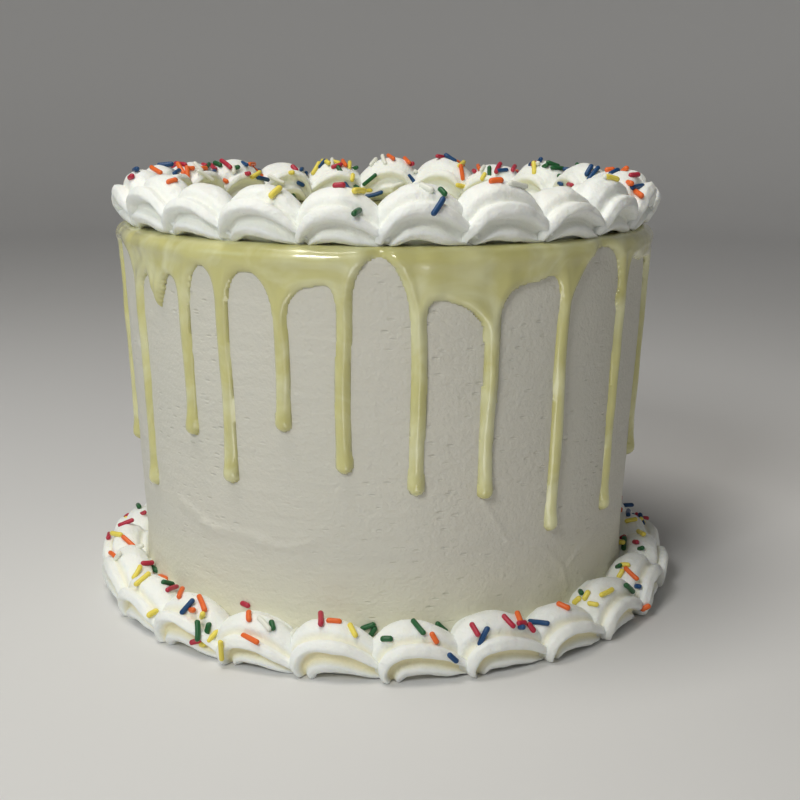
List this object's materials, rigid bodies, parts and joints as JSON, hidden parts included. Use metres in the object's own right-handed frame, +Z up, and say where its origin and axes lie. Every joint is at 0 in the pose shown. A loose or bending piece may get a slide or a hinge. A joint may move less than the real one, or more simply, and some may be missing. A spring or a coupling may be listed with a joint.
{
  "type": "confetti drip cake",
  "caption": "Tall round buttercream cake with a pale yellow chocolate drip and piped shell borders with sprinkles round its top edge and its foot.",
  "frame": {"origin": "centre of the bounding box's bottom face: the middle of the cake's flat underside", "axes": "+Z up along the cake's axis, -Y towards the front, +X to the right as seen from the front"},
  "size_m": [0.2451, 0.2457, 0.1747],
  "materials": {
    "buttercream": "satin",
    "piped_buttercream": "matt",
    "white_chocolate": "glossy",
    "sprinkles": "waxy"
  },
  "bodies": {
    "root": {"cake": "buttercream", "top_border": "piped_buttercream", "base_border": "piped_buttercream"}
  },
  "joints": []
}
